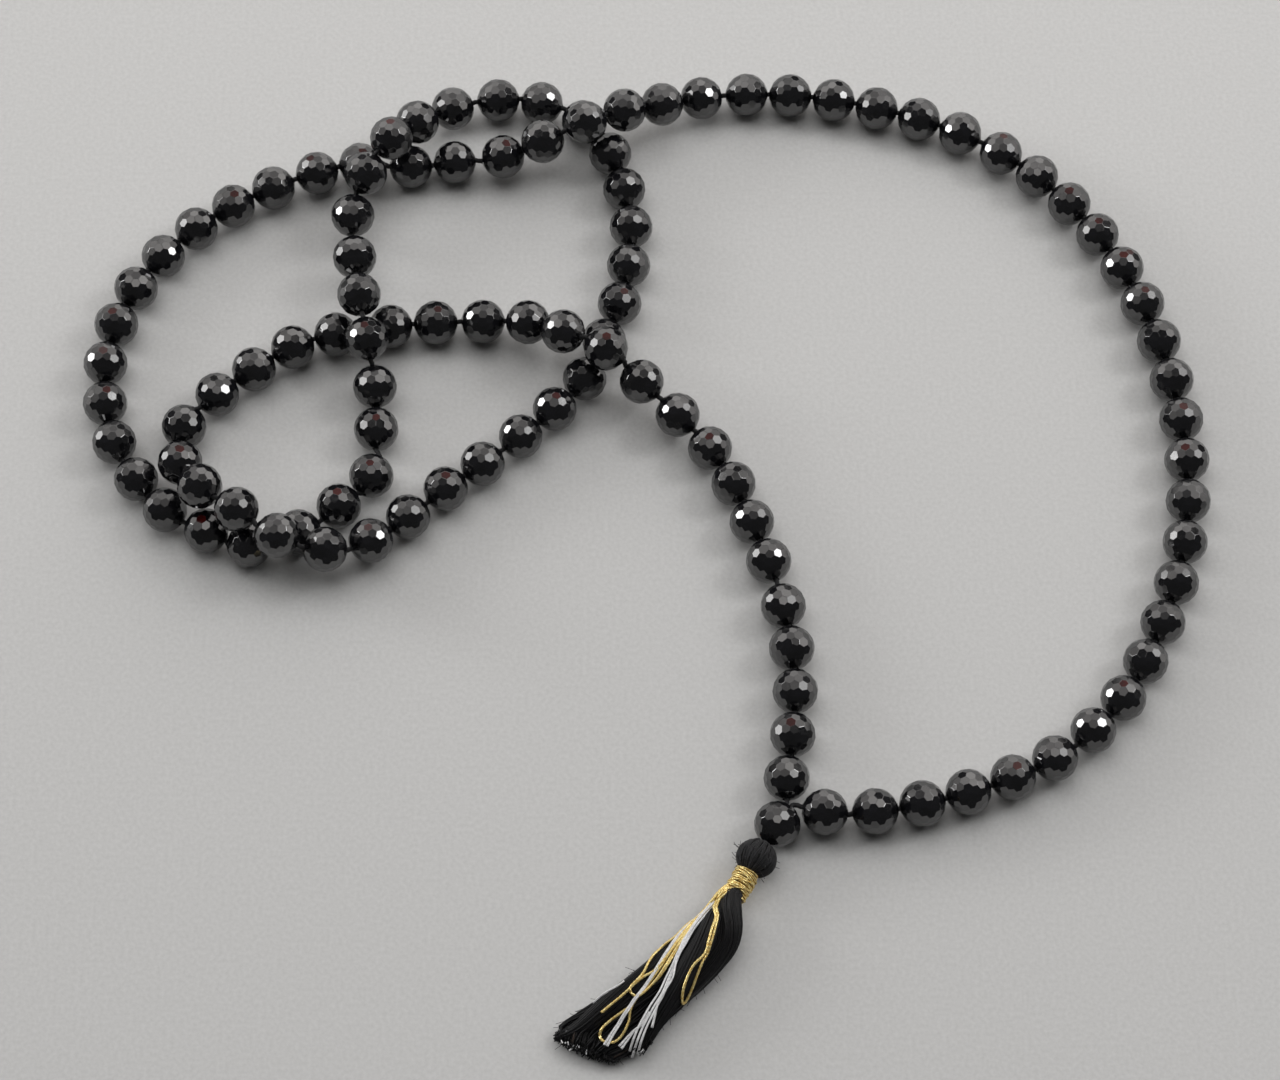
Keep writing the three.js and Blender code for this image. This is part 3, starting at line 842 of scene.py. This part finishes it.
# Three thick locks that show on top: centre and radius along each.
LOBES = [
    [(15.4, -67.9, 4.7, 1.35), (15.1, -69.4, 5, 1.6), (15, -71.2, 4.9, 1.75), (15, -73.6, 4.6, 1.8),
     (14.4, -75.9, 4, 1.8), (12.7, -78.3, 3.4, 1.8), (10.2, -80.9, 3, 1.8), (7.2, -83.8, 2.7, 1.7),
     (4.1, -86.7, 2.4, 1.6), (1.6, -89.6, 2.1, 1.45), (0.2, -92, 1.9, 1.3)],
    [(14.4, -68.6, 4.1, 0.8), (12.9, -70.9, 4.7, 1.25), (11.8, -73.4, 5, 1.6), (10.3, -76.6, 5, 1.8),
     (8.5, -79.8, 4.9, 1.9), (6.5, -83, 4.5, 1.9), (4.2, -86.2, 4, 1.8), (1.8, -89.6, 3.4, 1.7),
     (-0.4, -93.2, 2.6, 1.5)],
    [(14.2, -68.4, 3.8, 0.8), (11, -71.7, 3.7, 1.2), (8.3, -74.6, 3.7, 1.5), (5, -77.8, 3.6, 1.7),
     (1.2, -81.4, 3.5, 1.9), (-2.8, -84.8, 3.2, 2), (-6.8, -87.9, 2.8, 1.8), (-10.4, -90.3, 2.2, 1.3),
     (-13.2, -91.2, 1.6, 0.7)],
]

SPLIT_FIBRES = 3  # for each cut end
BLACK_FIBRE_RADIUS = 0.09
WHITE_FIBRE_RADIUS = 0.13
LINT_SHARE = 0.012
LEAN = 0.3  # how far fibres and hairs lean, as a share of their length
SPLIT_REACH = (0.2, 0.9)
EDGE_HAIRS = 120
EDGE_HAIR_RADIUS = 0.04
EDGE_HAIR_REACH = (0.5, 1.6)


def hang(piece, node=None):
    """Bakes the piece's place into its mesh, and hides the CAD node that it stands for, if any."""
    tassel_point(BEND_FROM)
    tassel_point(BEND_TO)
    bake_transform(piece)
    if node:
        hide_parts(node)


def skirt_at(t):
    """Centre, across vector, half width and half height at a share t of the skirt's length."""
    at = np.clip(t, 0, 1) * (len(SKIRT) - 1)
    x, y, z, width, height = (np.interp(at, np.arange(len(SKIRT)), column) for column in SKIRT.T)
    return np.array([x, y, z]), unit(ACROSS_AT_WRAP * (1 - t) + ACROSS_AT_END * t), width, height


def skirt_point(t, across_share, up_share):
    centre, sideways, width, height = skirt_at(t)
    point = centre + sideways * width * across_share
    point[2] = max(centre[2] + height * up_share, LOWEST_STRAND)
    return point * MM


def kept_above(line, height):
    """The line with every point at the height or above it."""
    line = np.array(line)
    line[:, 2] = np.maximum(line[:, 2], height * MM)
    return line


def add_lock(number, lines, rng, ends, core=None):
    """One lock of strands, a few of them brownish; the cut ends and their directions are added to ends."""
    black, brownish_strands = Shape(), Shape()
    if core is not None:
        black.tube(core[:, :3], core[:, 3], sides=16)
    for line in lines:
        line = kept_above(line, LOWEST_STRAND)
        (brownish_strands if rng.random() < BROWNISH_SHARE else black).tube(line, STRAND_RADIUS * MM, sides=5)
        ends.append((line[-1], unit(line[-1] - line[-3])))
    node = "tassel_skirt" if number == 1 else None
    hang(black.make(f"skirt_lock_{number:02d}", YARN_BLACK), node)
    if brownish_strands.verts:
        hang(brownish_strands.make(f"brownish_lock_{number:02d}", YARN_BROWN))


def ring_lock(k, rng):
    """Strands of one lock of the skirt's body, which swirls round the skirt's middle."""
    if k < RING_LOCKS:
        a0, share = 2 * math.pi * k / RING_LOCKS, RING_SHARE
    else:
        a0, share = 2 * math.pi * (k - RING_LOCKS) / INNER_LOCKS, INNER_SHARE
    lock_end = 1 - 0.05 * rng.random()
    lines = []
    for _ in range(LOCK_STRANDS):
        r, b = math.sqrt(rng.random()) * LOCK_RADIUS, rng.uniform(0, 2 * math.pi)
        end = lock_end + rng.normal(0, 0.012)
        wobble = rng.normal(0, 0.015, 4)
        line = []
        for t in np.linspace(0, end, 36):
            a = a0 - SWIRL * t**0.85
            c = b + LOCK_TWIST * t
            u = share * math.cos(a) + r * math.cos(c) + wobble[0] * math.sin(5 * t + 60 * wobble[1])
            v = share * math.sin(a) + r * math.sin(c) + wobble[2] * math.sin(6 * t + 60 * wobble[3])
            outside = max(1.0, math.hypot(u, v))
            line.append(skirt_point(t, u / outside, v / outside))
        lines.append(line)
    return lines


def folded_root(line, centre, high):
    """The strand from inside the binding out over its lower edge: the higher it lies, the further."""
    root = tassel_point(FOLDED_ROOT) + 0.25 * (line[0] - centre)
    out = root - TASSEL_LINE * (0.1 + 0.4 * high) * MM
    back = line[0] - (TASSEL_LINE * (0.35 + 0.75 * high) + UP * 0.5 * high) * MM
    return [*smooth_line([root, out, back, *line[:2]], 3), *line[2:]]


def lobe_lock(stations, rng, folds_over):
    """Close strands along the stations, and the core that they lie round."""
    path = smooth_line([np.array(s) * MM for s in stations], 4)
    centres, radii = path[:, :3], path[:, 3]
    _, side, up = carry_frames(centres)
    twist = np.linspace(0, LOBE_TWIST, len(path))
    lines = []
    for k in range(LOBE_STRANDS):
        r = 1 + rng.normal(0, 0.025) if k < OUTER_STRANDS else math.sqrt(rng.random())
        b = 2 * math.pi * k / OUTER_STRANDS + rng.normal(0, 0.03)
        stop = len(path) - int(rng.integers(0, 3))
        wobble = 0.02 * np.sin(np.linspace(0, 9, len(path)) + rng.uniform(0, 6))
        swell = 1 + 0.04 * math.cos(4 * b) + 0.03 * math.cos(9 * b)
        x, y = r * swell * np.cos(b + twist) + wobble, r * swell * np.sin(b + twist) + wobble
        line = list((centres + (radii * x)[:, None] * side + (radii * y)[:, None] * up)[:stop])
        if folds_over:
            lines.append(folded_root(line, centres[0], max(0.0, y[0])))
        else:
            lines.append([tassel_point(LOBE_ROOT) + 0.5 * (line[0] - centres[0]), *line])
    core = np.column_stack([centres, radii * CORE_SHARE])[:-3]
    core[:, 3] *= np.minimum(1, np.linspace(0.5, 4, len(core)))
    return lines, core


def add_skirt(rng):
    """The locks of the skirt; the first of the lobes on top folds over the binding's lower edge."""
    ends = []
    body_locks = RING_LOCKS + INNER_LOCKS
    for k in range(body_locks):
        add_lock(k + 1, ring_lock(k, rng), rng, ends)
    for k, stations in enumerate(LOBES):
        lines, core = lobe_lock(stations, rng, folds_over=k == 0)
        add_lock(body_locks + k + 1, lines, rng, ends, core)
    add_frayed_ends(ends, rng)


def split_ends(ends, rng, black, white):
    """Split fibres at the strands' cut ends, a few of them white."""
    for point, way in ends:
        for _ in range(SPLIT_FIBRES):
            lean = rng.normal(0, LEAN, 3)
            reach = rng.uniform(*SPLIT_REACH) * MM
            middle, tip = point + (way + 0.3 * lean) * reach * 0.5, point + (way + lean) * reach
            line = kept_above(smooth_line([point - way * 0.3 * MM, middle, tip], 3), LOWEST_HAIR)
            if rng.random() < LINT_SHARE:
                white.tube(line, WHITE_FIBRE_RADIUS * MM, sides=4)
            else:
                black.tube(line, BLACK_FIBRE_RADIUS * MM, sides=4)


def edge_hairs(rng, black):
    """Loose hairs on the outer edges of the skirt, more of them towards its end."""
    for _ in range(EDGE_HAIRS):
        t, a = rng.uniform(0.2, 1) ** 0.6, rng.choice([-1, 1]) * rng.uniform(0.8, 1)
        start = skirt_point(t, a, rng.uniform(-0.3, 0.3))
        way = unit(skirt_point(t + 0.02, a, 0) - start + 1e-9)
        out = skirt_at(t)[1] * np.sign(a)
        lean = rng.normal(0, LEAN, 3)
        reach = rng.uniform(*EDGE_HAIR_REACH) * MM
        middle, tip = start + (way + 0.3 * out) * reach * 0.5, start + (way + 0.6 * out + lean) * reach
        line = kept_above(smooth_line([start, middle, tip], 3), LOWEST_HAIR)
        black.tube(line, EDGE_HAIR_RADIUS * MM, sides=4)


def add_frayed_ends(ends, rng):
    black, white = Shape(), Shape()
    split_ends(ends, rng, black, white)
    edge_hairs(rng, black)
    fit(black.make("frayed_ends", YARN_BLACK), "tassel_skirt")
    fit(white.make("white_lint", WHITE), "tassel_skirt")


# ---- Threads that lie on the skirt: places (x, y), in mm ----
# A third value fixes the height, where the thread still lies on the binding.
NARROW_LOOP = [
    (15.7, -65.8, 4.3), (14.9, -67, 5), (13.9, -68, 5.4), (13.1, -69), (12.75, -70.2),
    (12.95, -71.9), (12.5, -74.1), (11.8, -76.6), (11.1, -78.6), (10.5, -79.6), (9.7, -81.5),
    (8.4, -84.5), (7.5, -86), (7, -86.3), (7.1, -84.9), (7.9, -82.5), (9, -80.5), (10.2, -79.3),
    (10.9, -78.3), (11.4, -76.4), (12, -74.1), (12.6, -72.2), (12.3, -70.2), (12.7, -68.9),
    (13.6, -67.6, 5.3), (14.5, -66.8, 4.9), (15.4, -65.5, 4.2),
]
WIDE_LOOP = [
    (15.4, -65.3, 4), (14.4, -66.5, 4.8), (13.5, -67.6, 5.1), (12.2, -69.2), (10.3, -71.4),
    (8.2, -74), (6.8, -76.2), (5.3, -79), (2.9, -82.6), (0.5, -84.7), (-0.6, -85.9), (-1.3, -86.8),
    (-3.1, -88.1), (-4.8, -89.3), (-6.1, -90.5), (-6.6, -91.5), (-6.4, -92.4), (-5.6, -92.9),
    (-4.5, -92.9), (-3.4, -92.2), (-2.5, -91), (-1.8, -89.3), (-1.6, -87.8), (-0.8, -86.1),
    (0.7, -84.2), (2.7, -81.6), (4.4, -78.9), (6.2, -75.9), (8.6, -72.6), (11.2, -69.6),
    (13, -67.5, 4.8), (13.8, -66.6, 4.5), (15.3, -65.5, 3.9),
]
SMALL_LOOP = [
    (15.3, -65.2, 4), (13.9, -66.3, 4.5), (13.1, -67.3, 4.8), (11.9, -68.8), (9.2, -71.4), (7.4, -73.3),
    (5.9, -75), (4, -76.5), (2.6, -77.9), (1.6, -79.4), (0.6, -81.5), (-0.4, -82.8), (-1.6, -84.2),
    (-1.4, -85.1), (-0.4, -85.5), (0.5, -85), (1.9, -83.6), (3.6, -81.4), (5, -79), (7.2, -75.4),
    (9.5, -72), (12.2, -68.8), (13.4, -67.4, 5.1), (14.3, -66.4, 4.7), (15.2, -65.3, 4),
]
END_THREAD = [
    (15.3, -65.1, 3.7), (13.9, -66.2, 4.2), (12.9, -67.3, 4.5), (11.6, -69.1), (9.3, -72.3), (6.6, -75.7),
    (4.2, -79), (2.4, -81.2), (0.6, -82.3), (-0.9, -83.5), (-1.8, -84.4), (-3.2, -85.7), (-4.8, -87),
    (-6.4, -88.3),
]
# Name, places, the CAD node that the thread stands for, if any, and how far it lies above the yarn.
GOLD_THREADS = [
    ("gold_narrow_loop", NARROW_LOOP, "gold_loop_narrow", 0.2),
    ("gold_wide_loop", WIDE_LOOP, "gold_loop_wide", 0.2),
    ("gold_end_thread", END_THREAD, "gold_thread_end", 0.3),
    ("gold_small_loop", SMALL_LOOP, None, 0.3),
]
GOLD_THREAD_RADIUS = 0.22
GOLD_PLY_PITCH = 1.3

# White cotton: number of threads, their spread at the start and at the end, and the places.
WHITE_BANDS = [
    (3, 0.5, 1.5, [(12.6, -68.8), (11.9, -69.6), (10.4, -71.4), (8.8, -73.7), (7.6, -76.1), (6.5, -78.1),
        (5.7, -80.1), (4.7, -82.5), (3.5, -85.4), (1.9, -88.1), (0.5, -90.8), (-0.6, -93.4), (-1.3, -95.2)]),
    (1, 0, 0, [(9.2, -72.8), (7.6, -75.3), (6.7, -77.1), (5.9, -80.1), (5.3, -82.8), (4.1, -85),
        (3.1, -86.9), (2.6, -88.8), (2, -91.1)]),
    (2, 0.25, 0.5, [(11.6, -69.8), (8.6, -72.4), (6.2, -75.1), (4.4, -77.9), (2.9, -80.6), (1.5, -83),
        (0.3, -84.7), (-0.9, -86.2), (-2, -87.8), (-3.2, -89.5), (-4.3, -91.2), (-5.2, -92.6),
        (-5.7, -93.6)]),
    (2, 0.2, 0.6, [(1.7, -88.4), (0.3, -90.4), (-0.9, -91.2), (-2, -92.4), (-3.3, -93.8)]),
    (1, 0, 0, [(-2.6, -82.9), (-4.1, -83.8), (-6, -84.9), (-8.1, -86.1)]),
]
WHITE_RISE = 0.3
FIBRES = 5  # in each white thread
FIBRE_RADIUS = 0.065
DROP_FROM = 20  # height from which the threads are lowered on the skirt
REST_ON = 3  # places on both sides whose highest strand holds a thread up
EASE_OVER = 4  # places on both sides that its height is the mean of


def skirt_surface():
    """A search tree over the skirt's locks, for laying threads on them."""
    locks = [o for o in bpy.context.scene.objects if o.name.startswith("skirt_lock")]
    verts, faces = [], []
    for lock in locks:
        start = len(verts)
        verts += [v.co.copy() for v in lock.data.vertices]
        faces += [tuple(start + i for i in p.vertices) for p in lock.data.polygons]
    return BVHTree.FromPolygons(verts, faces)


def over_window(values, reach, measure):
    """The measure, such as the mean, of the values up to reach places away on both sides of each."""
    padded = np.pad(values, reach, mode="edge")
    return np.array([measure(padded[i : i + 2 * reach + 1]) for i in range(len(values))])


def lay(tree, places, rise, per_span):
    """A line through the places that rests on the skirt, its height smoothed, rise above the strands."""
    line = smooth_line([np.array([*p, 0][:3]) * MM for p in places], per_span)
    fixed = [len(p) > 2 for p in places]
    heights = []
    for i, (x, y, z) in enumerate(line):
        span = i // per_span
        hit = tree.ray_cast(Vector((x, y, DROP_FROM * MM)), Vector((0, 0, -1)))[0]
        if fixed[span] and fixed[min(span + 1, len(fixed) - 1)]:
            heights.append(z)
        else:
            heights.append(hit.z if hit else heights[-1])
    line[:, 2] = over_window(over_window(heights, REST_ON, np.max), EASE_OVER, np.mean) + rise * MM
    return line


def add_gold_threads(tree):
    for name, places, node, rise in GOLD_THREADS:
        line = lay(tree, places, rise, 10)
        turns = distances_along(line)[-1] / (GOLD_PLY_PITCH * MM)
        shape = Shape()
        shape.tube(line, GOLD_THREAD_RADIUS * MM, sides=10, lobes=2, depth=0.17, turns=turns)
        hang(shape.make(name, GOLD), node)


def add_white_threads(tree, rng):
    """White cotton in a few bands, each thread of some loose fibres that spread towards its end."""
    shape = Shape()
    for count, first, last, places in WHITE_BANDS:
        middle = lay(tree, places, WHITE_RISE, 8)
        middle[:, 2] += np.linspace(0, WHITE_RISE * MM, len(middle))
        _, side, _ = carry_frames(middle)
        t = np.linspace(0, 1, len(middle))
        for k in range(count):
            spread = (k / max(count - 1, 1) - 0.5) * (first + (last - first) * t**3)
            drift = 0.08 * np.sin(t * rng.uniform(5, 9) + rng.uniform(0, 6))
            stop = len(middle) - int(rng.integers(0, 4))
            for fibre in range(FIBRES):
                turn = 1.25 * fibre + 9 * t
                aside = spread + drift + (0.09 + 0.08 * t**6) * np.cos(turn)
                line = middle + (aside[:, None] * side + (0.07 * np.sin(turn))[:, None] * UP) * MM
                shape.tube(line[:stop], FIBRE_RADIUS * MM, sides=5)
    hang(shape.make("white_threads", WHITE), "white_thread")


# ---- Stage, in metres ----
FLOOR_REACH = 3.0
FLOOR_DARK = (0.50, 0.50, 0.495)
FLOOR_LIGHT = (0.56, 0.56, 0.555)

# The bright wall and ceiling behind the beads: rows of strips, each with the radiance from left to right,
# the height at which it stands and its size.
WALL = [
    ((0.55, 0.9, 0.65, 1.05, 0.75), 0.85, (0.5, 0.8)),
    ((1, 0.65, 1.15, 0.75, 0.95), 0.22, (0.5, 0.62)),
    ((0.42, 0.18, 0.36, 0.22, 0.4), 3.6, (0.15, 0.66)),
]
WALL_COLOUR = (1.0, 0.965, 0.94)
STRIP_TURN = math.radians(34)  # from one strip to the next, seen from the beads

# A large soft light on each side, with a smaller and brighter one in front of it: name, direction,
# distance, side length and radiance.
TO_LEFT = (-0.9, 0.32, 0.30)
TO_RIGHT = (0.69, 0.25, 0.68)
SIDE_LIGHTS = [
    ("left_softbox", TO_LEFT, 1.3, 0.56, 3.2),
    ("left_lamp", TO_LEFT, 1.2, 0.26, 9),
    ("right_softbox", TO_RIGHT, 1.3, 0.56, 2.1),
    ("right_lamp", TO_RIGHT, 1.2, 0.24, 8),
]
FILL_LIGHT = ("fill", (-0.1, 0.25, 1), 1.8, (1.6, 1.6), 1.4)  # from above; it shows in no reflection
ROOM_LIGHT = 0.05


def add_floor():
    material, nodes, links, shader = new_material("pale_floor", Roughness=0.75)
    grain = noise(nodes, links, scale=1400, detail=6)
    colour_by(nodes, links, shader, grain, [(0.3, FLOOR_DARK), (0.7, FLOOR_LIGHT)])
    bump(nodes, links, shader, grain, strength=0.12, distance=0.0002)
    corners = [(x * FLOOR_REACH, y * FLOOR_REACH, 0) for x, y in ((-1, -1), (1, -1), (1, 1), (-1, 1))]
    new_object("floor", corners, [(0, 1, 2, 3)], material, smooth=False)


def add_panel(name, direction, distance, size, radiance):
    """A rectangle of soft light, seen from the origin in the given direction."""
    data = bpy.data.lights.new(name, "AREA")
    data.shape = "RECTANGLE"
    data.size, data.size_y = size
    data.energy = radiance * math.pi * size[0] * size[1]
    light = bpy.data.objects.new(name, data)
    light.location = Vector(direction).normalized() * distance
    light.rotation_euler = light.location.to_track_quat("Z", "Y").to_euler()
    bpy.context.scene.collection.objects.link(light)
    return light


def add_room():
    """Faint even light from all sides."""
    room = bpy.data.worlds.new("room")
    room.use_nodes = True
    background = room.node_tree.nodes["Background"]
    background.inputs["Color"].default_value = (1, 1, 1, 1)
    background.inputs["Strength"].default_value = ROOM_LIGHT
    bpy.context.scene.world = room


def add_lights():
    add_room()
    for row, (strips, height, size) in enumerate(WALL):
        for k, radiance in enumerate(strips):
            turn = STRIP_TURN * (k - len(strips) // 2)
            direction = (math.sin(turn), math.cos(turn), height)
            strip = add_panel(f"wall_{row}_{k}", direction, 1.0, size, radiance)
            strip.data.color = WALL_COLOUR
    for name, direction, distance, side, radiance in SIDE_LIGHTS:
        add_panel(name, direction, distance, (side, side), radiance)
    add_panel(*FILL_LIGHT).visible_glossy = False


def add_tassel():
    rng = np.random.default_rng(TASSEL_SEED)
    add_neck()
    add_ball(rng)
    add_ball_hairs(rng)
    add_bound_yarn()
    add_binding(rng)
    add_underlay()
    add_skirt(rng)
    tree = skirt_surface()
    add_gold_threads(tree)
    add_white_threads(tree, rng)


add_camera()
add_strings()
add_beads()
add_tassel()
add_floor()
add_lights()
bpy.context.scene.view_settings.view_transform = "Standard"
